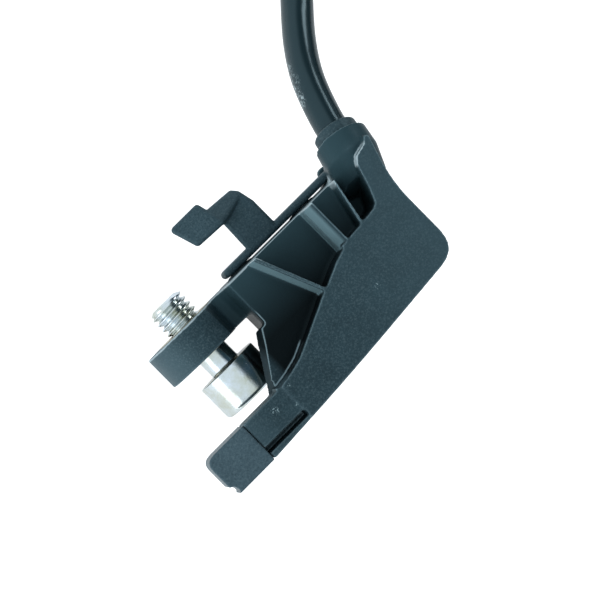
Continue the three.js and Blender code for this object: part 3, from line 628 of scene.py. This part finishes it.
# Plug
# A two-way plug moulded in matte plastic, with silicone seals, a slide that locks the contacts
# and tinned contacts inside. The ties round the coil are nylon straps.

EDGED = ("plug_shell", "plug_lock", "coil_tie_a", "coil_tie_b", "plug_nose_seal", "limiter_bush")
for name in EDGED:
    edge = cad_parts[name].modifiers.new("edge", "BEVEL")
    edge.width = 0.00025
    edge.segments = 3
    edge.limit_method = "ANGLE"

# The shell's nylon is nearly black with a fine even grain, and the slide's is a plain grey.
paint("plug_shell", moulded("plug_nylon", "#1b2022", "#252b2e", 0.5, 0.0002, 0.00004))
paint("plug_lock", moulded("lock_nylon", "#586469", "#667378", 0.45, 0.0002, 0.00002))

# Silicone is a soft brick red, and the straps are smooth, so they shine a little more.
silicone = moulded("silicone", "#7e3226", "#8f3c2e", 0.5, 0.0003, 0.00002)
paint("plug_wire_seal", silicone)
paint("plug_nose_seal", silicone)
strap = moulded("tie_nylon", "#14181a", "#1b2022", 0.4, 0.0002, 0.00002)
paint("coil_tie_a", strap)
paint("coil_tie_b", strap)


# Inside
# The chip, its magnet, the terminals with their crimps and the two cores: all are closed in by
# the housing and the head. Contacts and terminals are stamped from one tinned strip.

# Tin looks pale, warm and half dull, and the magnet's nickel is a darker, more even grey.
tin = metal("tinned_bronze", "#b9ad90", "#cfc6ae", 0.3, 1500)
for kind in ("terminal", "terminal_crimp", "plug_contact"):
    paint(f"{kind}_a", tin)
    paint(f"{kind}_b", tin)
paint("bias_magnet", metal("nickel_plate", "#8e8e8c", "#a6a6a2", 0.28, 1500))

# The chip's epoxy is black and matte, and the cores' jackets are smooth blue and brown vinyl.
paint("sensing_chip", moulded("chip_epoxy", "#15161a", "#1c1d21", 0.45, 0.0002, 0.00001))
paint("cable_core_a", moulded("blue_core", "#27406e", "#2e4a7d", 0.4, 0.0003, 0.00001))
paint("cable_core_b", moulded("brown_core", "#5a3626", "#66402e", 0.4, 0.0003, 0.00001))


# Light
# A white tent: a table that glows, a sky that is white at the left and overhead and dark blue at
# the right, a broad panel at the left and a small strip at the right for the lead's highlight.

TABLE_HALF = 3
GLOW, GLOW_SEEN = 0.35, 0.95
WHITE = (1, 1, 1, 1)

mesh = bpy.data.meshes.new("table")
corners = [(-1, -1), (1, -1), (1, 1), (-1, 1)]
corners = [(x * TABLE_HALF, y * TABLE_HALF, 0) for x, y in corners]
mesh.from_pydata(corners, [], [(0, 1, 2, 3)])
table = bpy.data.objects.new("table", mesh)
bpy.context.scene.collection.objects.link(table)

# Matte paper, which glows enough to look white to the camera, and less on the object.
paper, tree = new_material("white_table")
seen = add(tree, "ShaderNodeLightPath").outputs["Is Camera Ray"]
glow = add(tree, "ShaderNodeMapRange", {"Value": seen, "To Min": GLOW, "To Max": GLOW_SEEN})
finish_material(
    tree,
    {
        "Base Color": (0.8, 0.8, 0.8, 1),
        "Roughness": 0.9,
        "Emission Color": WHITE,
        "Emission Strength": glow,
    },
)
mesh.materials.append(paper)

world = bpy.data.worlds.new("tent")
bpy.context.scene.world = world
world.use_nodes = True
tree = world.node_tree
tree.nodes.clear()
direction = add(tree, "ShaderNodeTexCoord").outputs["Generated"]
inputs = {0: direction, 1: (-0.97, 0.05, -0.1)}
leftness = add(tree, "ShaderNodeVectorMath", inputs, operation="DOT_PRODUCT")
level = zone(tree, (leftness, -0.55, -0.3))
inputs = {"Factor": level, "A": (0.025, 0.052, 0.07, 1), "B": (0.86, 0.94, 0.98, 1)}
sky = add(tree, "ShaderNodeMix", inputs, data_type="RGBA")
seen = add(tree, "ShaderNodeLightPath").outputs["Is Camera Ray"]
sky = add(tree, "ShaderNodeMix", {"Factor": seen, "A": sky, "B": WHITE}, data_type="RGBA")
tent = add(tree, "ShaderNodeBackground", {"Color": sky, "Strength": 1.0})
add(tree, "ShaderNodeOutputWorld", {"Surface": tent})


def panel(name, place, wide, high, energy):
    """A rectangle of light that faces the sensor. Its sides are in metres."""
    light = bpy.data.lights.new(name, "AREA")
    light.shape = "RECTANGLE"
    light.size = wide
    light.size_y = high
    light.energy = energy
    lamp = bpy.data.objects.new(name, light)
    bpy.context.scene.collection.objects.link(lamp)
    lamp.location = place
    lamp.rotation_euler = (TARGET - place).to_track_quat("-Z", "Y").to_euler()


panel("left_panel", at(-420, -60, 170), 0.9, 0.3, 0.85)
panel("right_strip", at(440, 40, 180), 0.26, 0.12, 0.55)

bpy.context.scene.view_settings.view_transform = "Standard"
